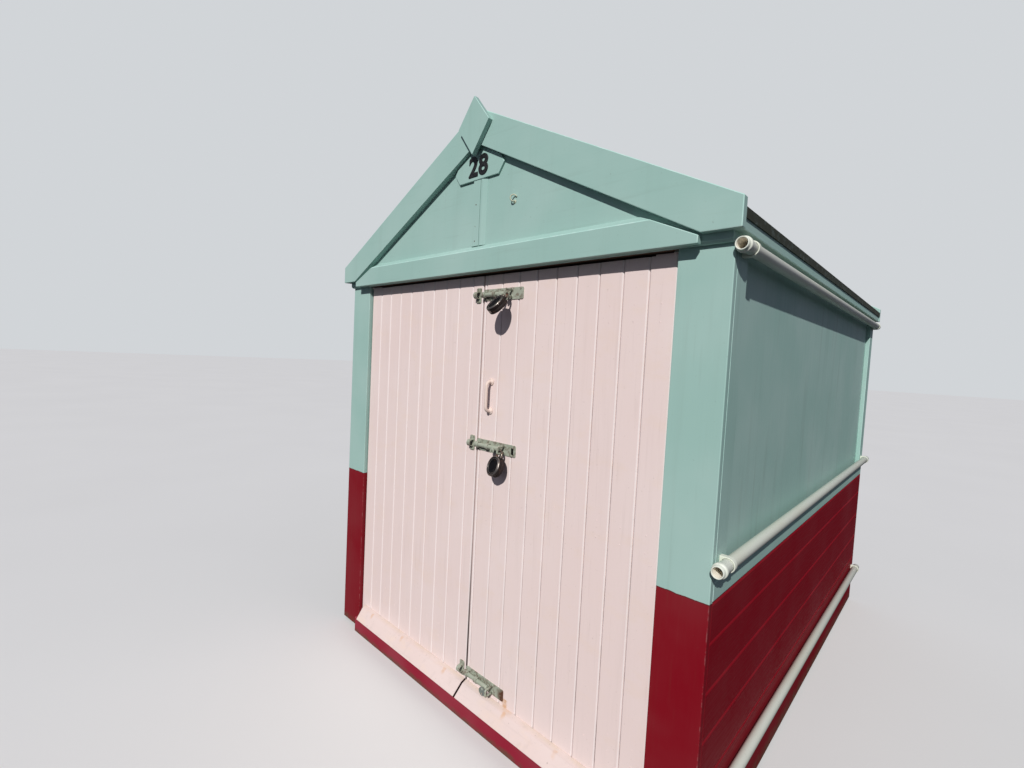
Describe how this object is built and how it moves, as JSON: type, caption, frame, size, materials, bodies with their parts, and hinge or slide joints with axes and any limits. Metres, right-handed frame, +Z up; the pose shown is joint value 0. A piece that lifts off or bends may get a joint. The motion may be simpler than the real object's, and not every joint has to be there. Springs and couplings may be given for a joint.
{
  "type": "beach hut",
  "caption": "Small timber beach hut with a gabled roof, two boarded doors with weatherboards and pad bolts, a finial and pipes along one side.",
  "frame": {"origin": "on the ground, at the centre of the plan between the faces of the front and back walls", "axes": "+X to the right as seen from the front, -Y the way the doors face, +Z up"},
  "size_m": [1.8965, 2.5112, 2.3113],
  "materials": {
    "green_paint": "pale green gloss paint on timber, a little weathered",
    "red_paint": "dark red gloss paint on timber",
    "pink_paint": "pale pink gloss paint on timber, dirty along the foot",
    "bare_wood": "planed softwood without paint",
    "roof_felt": "roof boards under weathered green-grey felt",
    "steel": "bare steel",
    "handle_paint": "painted over in the colour of the doors",
    "bolt_paint": "grey-green paint, worn and rusty at the edges",
    "padlock_dark": "dark weathered steel",
    "pipe_plastic": "off-white plastic pipe, weathered"
  },
  "bodies": {
    "hut": {"bearers": "bare_wood", "floor": "bare_wood", "base_board": "red_paint", "front_board_left": "green_paint", "front_board_right": "green_paint", "back_boards": "green_paint", "corner_boards_left": "green_paint", "corner_boards_right": "green_paint", "side_sheet_left": "green_paint", "side_sheet_right": "green_paint", "back_sheet": "green_paint", "waist_rail_left": "green_paint", "waist_rail_right": "green_paint", "waist_rail_back": "green_paint", "lower_cladding_left": "red_paint", "lower_cladding_right": "red_paint", "lower_cladding_back": "red_paint", "side_frame_left": "bare_wood", "side_frame_right": "bare_wood", "back_frame": "bare_wood", "head_beam": "bare_wood", "gable_panel": "green_paint", "gable_strip": "green_paint", "drip_board": "green_paint", "number_plate": "green_paint", "finial": "green_paint", "bargeboard_front_left": "green_paint", "bargeboard_front_right": "green_paint", "bargeboard_back_left": "green_paint", "bargeboard_back_right": "green_paint", "roof_left": "roof_felt", "roof_right": "roof_felt", "ridge_cap": "green_paint", "roof_frame": "bare_wood", "eave_boards": "green_paint", "door_pivots": "steel", "pipe_bottom": "pipe_plastic", "pipe_middle": "pipe_plastic", "pipe_top": "pipe_plastic", "pipe_clips": "pipe_plastic"},
    "door_left": {"door_left": "pink_paint", "weatherboard_left": "pink_paint", "bolt_keeps": "bolt_paint"},
    "door_right": {"door_right": "pink_paint", "weatherboard_right": "pink_paint", "pull_handle": "handle_paint", "bolt_housings": "bolt_paint", "padlock_middle": "padlock_dark", "padlock_top": "padlock_dark"},
    "bolt_bottom": {"bolt_bottom": "bolt_paint"},
    "bolt_middle": {"bolt_middle": "bolt_paint"},
    "bolt_top": {"bolt_top": "bolt_paint"}
  },
  "joints": [
    {"name": "door_left_hinge", "type": "hinge", "parent": "hut", "child": "door_left", "pos_m": [-0.759, -1.185, 0], "axis": [0, 0, -1], "range_deg": [0, 110]},
    {"name": "door_right_hinge", "type": "hinge", "parent": "hut", "child": "door_right", "pos_m": [0.759, -1.185, 0], "axis": [0, 0, 1], "range_deg": [0, 110]},
    {"name": "bolt_bottom_slide", "type": "slide", "parent": "door_right", "child": "bolt_bottom", "axis": [-1, 0, 0], "range_m": [0, 0.024]},
    {"name": "bolt_middle_slide", "type": "slide", "parent": "door_right", "child": "bolt_middle", "axis": [-1, 0, 0], "range_m": [0, 0.024]},
    {"name": "bolt_top_slide", "type": "slide", "parent": "door_right", "child": "bolt_top", "axis": [-1, 0, 0], "range_m": [0, 0.024]}
  ]
}
